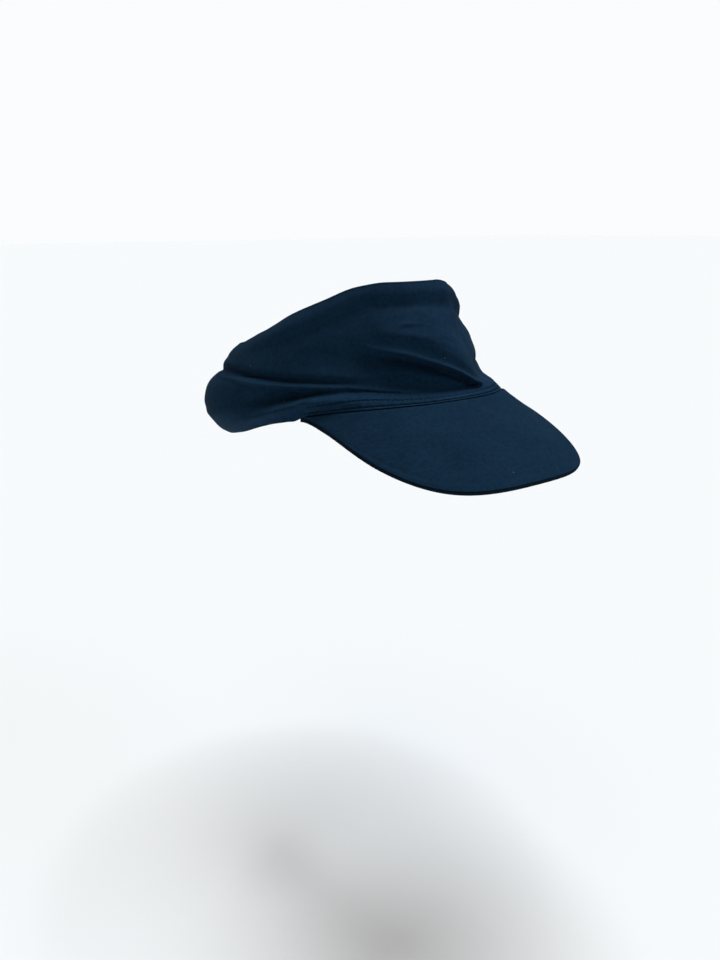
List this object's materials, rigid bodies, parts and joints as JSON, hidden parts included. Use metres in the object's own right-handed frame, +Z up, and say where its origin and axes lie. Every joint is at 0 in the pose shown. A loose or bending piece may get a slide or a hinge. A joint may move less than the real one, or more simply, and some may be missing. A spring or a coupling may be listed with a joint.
{
  "type": "sport visor",
  "caption": "Soft open-crown sport visor: a wide draped jersey head band with two rolls behind, a double-stitched front hem strip and a curved covered peak, shaped as worn.",
  "frame": {"origin": "middle of the head's oval, level with the middle of the peak's seam, where the head holds the visor", "axes": "+Z up, -Y towards the tip of the peak, +X towards the wearer's left"},
  "size_m": [0.1748, 0.2648, 0.104],
  "materials": {
    "band_jersey": "matt navy cotton jersey with a fine knit",
    "hem_jersey": "matt navy cotton jersey, doubled and topstitched",
    "peak_jersey": "matt navy jersey stretched over a stiff peak board"
  },
  "bodies": {
    "root": {"headband": "band_jersey", "front_hem": "hem_jersey", "peak": "peak_jersey"}
  },
  "joints": []
}
